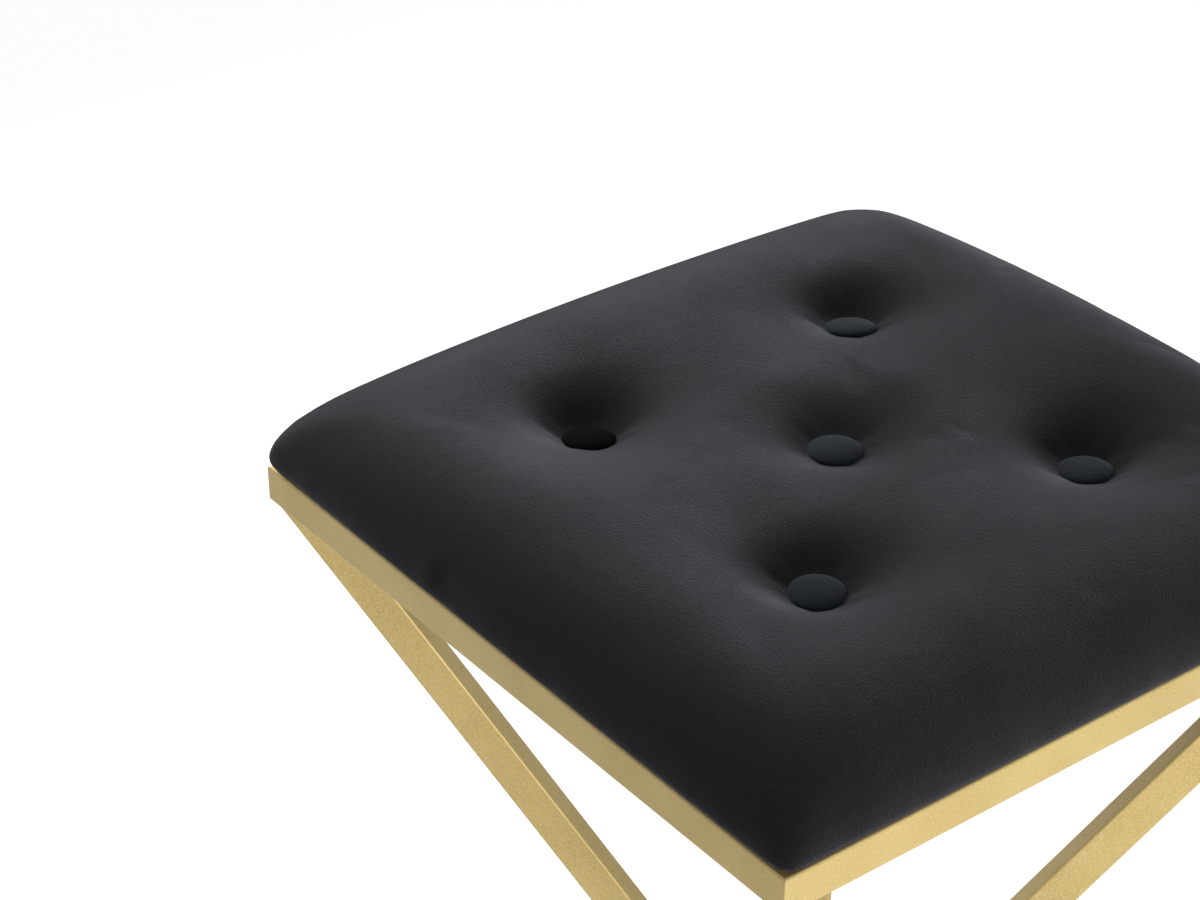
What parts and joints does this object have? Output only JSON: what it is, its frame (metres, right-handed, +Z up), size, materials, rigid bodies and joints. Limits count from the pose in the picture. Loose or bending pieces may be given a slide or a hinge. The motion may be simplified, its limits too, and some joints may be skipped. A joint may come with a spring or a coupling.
{
  "type": "bar stool",
  "caption": "Backless bar stool: a square buttoned velvet seat pad on a gold tube frame that narrows to a waist and widens to a square floor frame on levelling glides.",
  "frame": {"origin": "on the floor under the centre of the stool", "axes": "+Z up along the stool's centre line, X and Y along the sides of the seat, front on -Y"},
  "size_m": [0.42, 0.42, 0.7923],
  "materials": {
    "gold_frame": "satin gold coating on steel tube",
    "velvet": "black short-pile velvet",
    "foam": "upholstery foam",
    "plywood": "bare plywood",
    "dust_cloth": "black non-woven cloth",
    "twine": "waxed tufting twine",
    "fibre": "pressed fibre",
    "nylon": "black nylon",
    "zinc_steel": "zinc-plated steel"
  },
  "bodies": {
    "frame": {"base_rail_back": "gold_frame", "base_rail_front": "gold_frame", "base_rail_left": "gold_frame", "base_rail_right": "gold_frame", "dust_cover": "dust_cloth", "lower_leg_back_left": "gold_frame", "lower_leg_back_right": "gold_frame", "lower_leg_front_left": "gold_frame", "lower_leg_front_right": "gold_frame", "rivet_nuts": "zinc_steel", "seat_board": "plywood", "seat_cover": "velvet", "seat_foam": "foam", "seat_rail_back": "gold_frame", "seat_rail_front": "gold_frame", "seat_rail_left": "gold_frame", "seat_rail_right": "gold_frame", "seat_screws": "zinc_steel", "seat_tab_back_left": "gold_frame", "seat_tab_back_right": "gold_frame", "seat_tab_front_left": "gold_frame", "seat_tab_front_right": "gold_frame", "tee_nuts": "zinc_steel", "tuft_anchors": "fibre", "tuft_button_back_left": "velvet", "tuft_button_back_right": "velvet", "tuft_button_centre": "velvet", "tuft_button_front_left": "velvet", "tuft_button_front_right": "velvet", "tuft_twine": "twine", "upper_leg_back_left": "gold_frame", "upper_leg_back_right": "gold_frame", "upper_leg_front_left": "gold_frame", "upper_leg_front_right": "gold_frame"},
    "glide_front_left": {"glide_foot_front_left": "nylon", "glide_stem_front_left": "zinc_steel"},
    "glide_front_right": {"glide_foot_front_right": "nylon", "glide_stem_front_right": "zinc_steel"},
    "glide_back_right": {"glide_foot_back_right": "nylon", "glide_stem_back_right": "zinc_steel"},
    "glide_back_left": {"glide_foot_back_left": "nylon", "glide_stem_back_left": "zinc_steel"}
  },
  "joints": [
    {"name": "glide_front_left_screw", "type": "slide", "parent": "frame", "child": "glide_front_left", "axis": [0, 0, -1], "range_m": [0, 0.005]},
    {"name": "glide_front_right_screw", "type": "slide", "parent": "frame", "child": "glide_front_right", "axis": [0, 0, -1], "range_m": [0, 0.005]},
    {"name": "glide_back_right_screw", "type": "slide", "parent": "frame", "child": "glide_back_right", "axis": [0, 0, -1], "range_m": [0, 0.005]},
    {"name": "glide_back_left_screw", "type": "slide", "parent": "frame", "child": "glide_back_left", "axis": [0, 0, -1], "range_m": [0, 0.005]}
  ]
}
